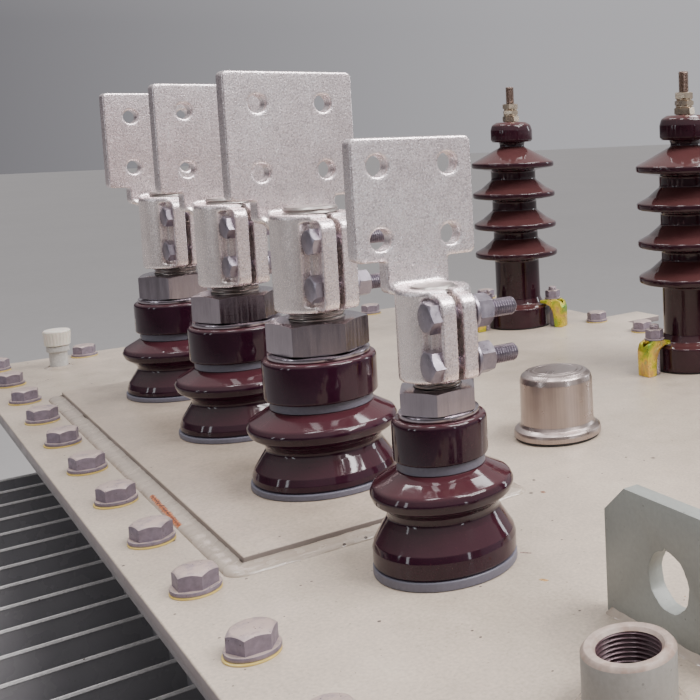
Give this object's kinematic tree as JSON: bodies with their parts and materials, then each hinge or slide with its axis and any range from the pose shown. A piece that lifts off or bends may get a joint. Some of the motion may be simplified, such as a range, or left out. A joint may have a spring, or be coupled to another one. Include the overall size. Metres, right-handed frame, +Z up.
{
  "type": "oil-filled distribution transformer",
  "caption": "Sealed oil-filled power transformer with corrugated fin walls, flat bolted cover, porcelain bushings with flag terminals, lifting lugs and a channel base.",
  "frame": {"origin": "bottom centre of the whole transformer, on the floor", "axes": "+Z up, X along the cover's long side, the low-voltage bushings towards -Y, the high-voltage bushings towards +Y"},
  "size_m": [1.5746, 1.0898, 1.49],
  "materials": {
    "tank_paint": "satin grey paint",
    "cover_paint": "satin grey-beige paint",
    "green_grey_paint": "satin green-grey paint",
    "polished_steel": "polished stainless steel",
    "white_plastic": "ribbed white plastic",
    "blue_grey_rubber": "blue-grey sealing rubber",
    "maroon_porcelain": "dark maroon glaze",
    "chestnut_porcelain": "chestnut brown glaze",
    "bright_steel": "bright turned metal",
    "tinned_casting": "tinned cast metal, slightly speckled",
    "brass": "bright brass",
    "yellow_chromate": "yellow chromate plating"
  },
  "bodies": {
    "root": {"base_channel_hv": "tank_paint", "base_channel_lv": "tank_paint", "cover_plate": "cover_paint", "filler_socket": "green_grey_paint", "fins_far": "tank_paint", "fins_hv": "tank_paint", "fins_lv": "tank_paint", "fins_near": "tank_paint", "hv_a_clamp_1": "yellow_chromate", "hv_a_clamp_2": "yellow_chromate", "hv_a_clamp_3": "yellow_chromate", "hv_a_insulator": "chestnut_porcelain", "hv_a_stud": "brass", "hv_b_clamp_1": "yellow_chromate", "hv_b_clamp_2": "yellow_chromate", "hv_b_clamp_3": "yellow_chromate", "hv_b_insulator": "chestnut_porcelain", "hv_b_stud": "brass", "hv_c_clamp_1": "yellow_chromate", "hv_c_clamp_2": "yellow_chromate", "hv_c_clamp_3": "yellow_chromate", "hv_c_insulator": "chestnut_porcelain", "hv_c_stud": "brass", "lifting_lug_far": "green_grey_paint", "lifting_lug_near": "green_grey_paint", "lv_a_base_seal": "blue_grey_rubber", "lv_a_collar": "maroon_porcelain", "lv_a_insulator": "maroon_porcelain", "lv_a_stud": "bright_steel", "lv_a_terminal": "tinned_casting", "lv_b_base_seal": "blue_grey_rubber", "lv_b_collar": "maroon_porcelain", "lv_b_insulator": "maroon_porcelain", "lv_b_stud": "bright_steel", "lv_b_terminal": "tinned_casting", "lv_c_base_seal": "blue_grey_rubber", "lv_c_collar": "maroon_porcelain", "lv_c_insulator": "maroon_porcelain", "lv_c_stud": "bright_steel", "lv_c_terminal": "tinned_casting", "lv_insert_plate": "cover_paint", "lv_n_base_seal": "blue_grey_rubber", "lv_n_collar": "maroon_porcelain", "lv_n_insulator": "maroon_porcelain", "lv_n_stud": "bright_steel", "lv_n_terminal": "tinned_casting", "pocket_cap": "white_plastic", "pocket_stub": "green_grey_paint", "tank_body": "tank_paint", "tank_flange": "tank_paint", "tap_changer_cap": "polished_steel"}
  },
  "joints": []
}
